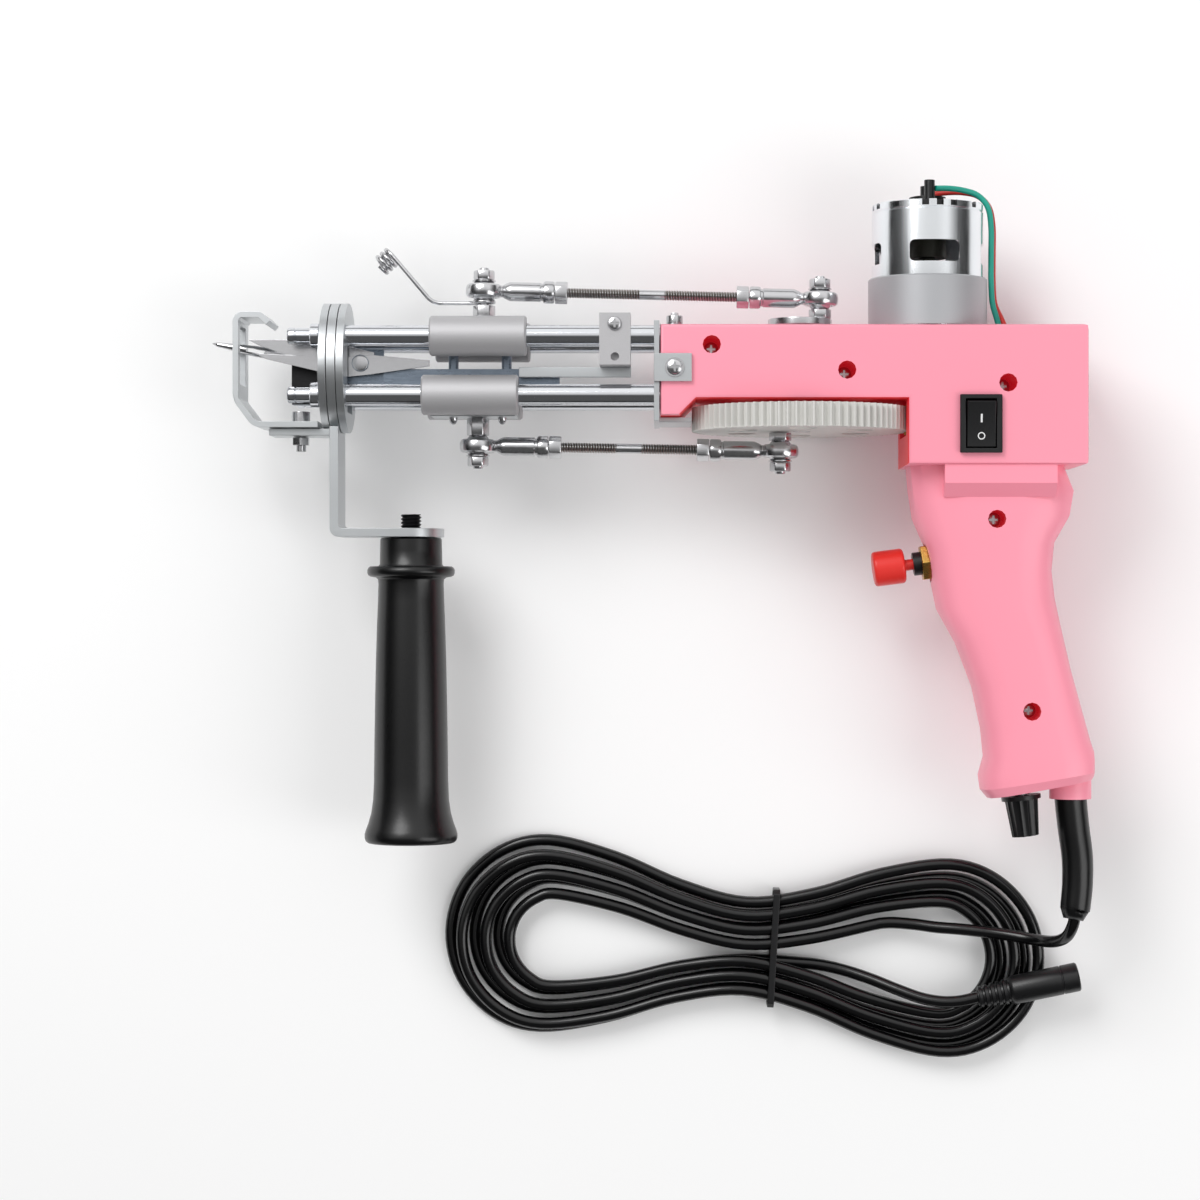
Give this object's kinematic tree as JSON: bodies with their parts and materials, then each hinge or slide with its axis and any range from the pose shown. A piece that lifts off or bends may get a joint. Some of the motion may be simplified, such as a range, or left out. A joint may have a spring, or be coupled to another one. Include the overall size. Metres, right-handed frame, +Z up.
{
  "type": "handheld tufting machine",
  "caption": "Electric tufting machine with a pistol grip, a motor driven wheel that strokes a hollow needle and scissor blades on guide rods, a side handle and a hanked cord.",
  "frame": {"origin": "on the table, under the middle of the machine without its free cord", "axes": "+X from the needle's point to the back of the grip, +Y from the grip's foot up to the motor, +Z up from the table on which the machine lies on its side, switch side up"},
  "size_m": [0.3336, 0.3354, 0.0818],
  "materials": {
    "pink_plastic": "moulded, satin gloss",
    "zinc_plate": "zinc plated sheet",
    "chrome_rod": "polished hard chrome",
    "bright_steel": "bright nickel plated",
    "grey_sleeve": "blasted matt grey",
    "flux_ring": "matt light grey",
    "blued_zinc": "blue passivated zinc",
    "motor_can": "bright zinc plated can",
    "copper": "enamelled copper winding on a steel core",
    "brass": "turned brass",
    "white_nylon": "moulded nylon",
    "black_rubber": "soft satin rubber",
    "black_steel": "black oxide thread",
    "black_plastic": "moulded",
    "red_plastic": "moulded",
    "red_insulation": "wire insulation",
    "green_insulation": "wire insulation",
    "cord_jacket": "flexible cord jacket"
  },
  "bodies": {
    "frame": {"housing_near": "pink_plastic", "housing_far": "pink_plastic", "front_plate": "zinc_plate", "rod_upper_near": "chrome_rod", "rod_upper_far": "chrome_rod", "rod_lower_near": "chrome_rod", "rod_lower_far": "chrome_rod", "nose_plate_front": "zinc_plate", "handle_bracket": "zinc_plate", "nose_plate_rear": "zinc_plate", "foot_clamp_screw": "bright_steel", "side_handle": "black_rubber", "handle_stud": "black_steel", "motor_can": "motor_can", "flux_ring": "flux_ring", "motor_end_cap": "black_plastic", "lead_red": "red_insulation", "lead_green": "green_insulation", "wheel_bearing": "bright_steel", "switch_body": "black_plastic", "cam_block": "grey_sleeve", "cam_bar": "zinc_plate", "cord_sleeve": "black_rubber", "cord_lead": "cord_jacket", "cord_hank": "cord_jacket", "cord_plug": "black_plastic", "cord_tie": "black_plastic", "trigger_nut": "brass", "trigger_barrel": "black_plastic", "speed_control": "bright_steel"},
    "wheel": {"drive_wheel": "white_nylon", "crank_shaft": "bright_steel"},
    "rotor": {"motor_armature": "copper", "motor_pinion": "brass"},
    "needle_carriage": {"needle_sleeve_near": "grey_sleeve", "needle_sleeve_far": "grey_sleeve", "needle_carriage_plate": "zinc_plate", "needle_stud": "bright_steel", "needle_bar": "blued_zinc", "needle": "bright_steel"},
    "cutter_carriage": {"cutter_sleeve_near": "grey_sleeve", "cutter_sleeve_far": "grey_sleeve", "cutter_carriage_plate": "zinc_plate", "cutter_stud": "bright_steel", "cutter_bar": "blued_zinc", "fixed_blade": "bright_steel", "yarn_guide": "bright_steel"},
    "cutter_blade": {"moving_blade": "bright_steel"},
    "needle_rod": {"needle_rod_front_eye": "bright_steel", "needle_rod_rear_eye": "bright_steel", "needle_rod_link": "bright_steel", "needle_rod_crank_pin": "bright_steel"},
    "cutter_rod": {"cutter_rod_front_eye": "bright_steel", "cutter_rod_rear_eye": "bright_steel", "cutter_rod_link": "bright_steel", "cutter_rod_crank_pin": "bright_steel"},
    "foot": {"presser_foot": "zinc_plate"},
    "rocker": {"switch_rocker": "black_plastic"},
    "trigger": {"trigger_button": "red_plastic"},
    "knob": {"speed_knob": "black_plastic"}
  },
  "joints": [
    {"name": "wheel_turn", "type": "hinge", "parent": "frame", "child": "wheel", "pos_m": [0.05583, 0.04783, 0.0409], "axis": [0, 1, 0], "range_deg": [0, 180]},
    {"name": "rotor_turn", "type": "hinge", "parent": "frame", "child": "rotor", "pos_m": [0.10403, 0.04783, 0.0409], "axis": [0, 1, 0], "range_deg": [-900, 0]},
    {"name": "needle_slide", "type": "slide", "parent": "frame", "child": "needle_carriage", "axis": [1, 0, 0], "range_m": [0, 0.015]},
    {"name": "cutter_slide", "type": "slide", "parent": "frame", "child": "cutter_carriage", "axis": [-1, 0, 0], "range_m": [0, 0.015]},
    {"name": "blade_turn", "type": "hinge", "parent": "cutter_carriage", "child": "cutter_blade", "pos_m": [-0.10967, 0.06883, 0.0409], "axis": [0, 0, -1], "range_deg": [0, 8]},
    {"name": "needle_rod_swing", "type": "hinge", "parent": "needle_carriage", "child": "needle_rod", "pos_m": [-0.06587, 0.03803, 0.0409], "axis": [0, 1, 0], "range_deg": [-3.8, 3.8]},
    {"name": "cutter_rod_swing", "type": "hinge", "parent": "cutter_carriage", "child": "cutter_rod", "pos_m": [-0.06357, 0.09663, 0.0409], "axis": [0, 1, 0], "range_deg": [-3.4, 3.4]},
    {"name": "foot_slide", "type": "slide", "parent": "frame", "child": "foot", "axis": [1, 0, 0], "range_m": [-0.0045, 0.001]},
    {"name": "switch_rock", "type": "hinge", "parent": "frame", "child": "rocker", "pos_m": [0.12163, 0.04503, 0.0661], "axis": [-1, 0, 0], "range_deg": [0, 16]},
    {"name": "trigger_press", "type": "slide", "parent": "frame", "child": "trigger", "axis": [0.9914, 0.1305, 0], "range_m": [0, 0.0025], "stiffness_N_per_m": 400, "springref_m": -0.001},
    {"name": "knob_turn", "type": "hinge", "parent": "frame", "child": "knob", "pos_m": [0.13933, -0.09397, 0.0409], "axis": [0.1149, -0.9934, 0], "range_deg": [0, 270]}
  ],
  "couplings": [
    {"joint": "rotor_turn", "follows": "wheel_turn", "ratio": -5},
    {"joint": "needle_slide", "follows": "wheel_turn", "m_per_rad": 0.0047746},
    {"joint": "cutter_slide", "follows": "wheel_turn", "m_per_rad": 0.0047746},
    {"joint": "blade_turn", "follows": "wheel_turn", "ratio": 0.0444}
  ]
}
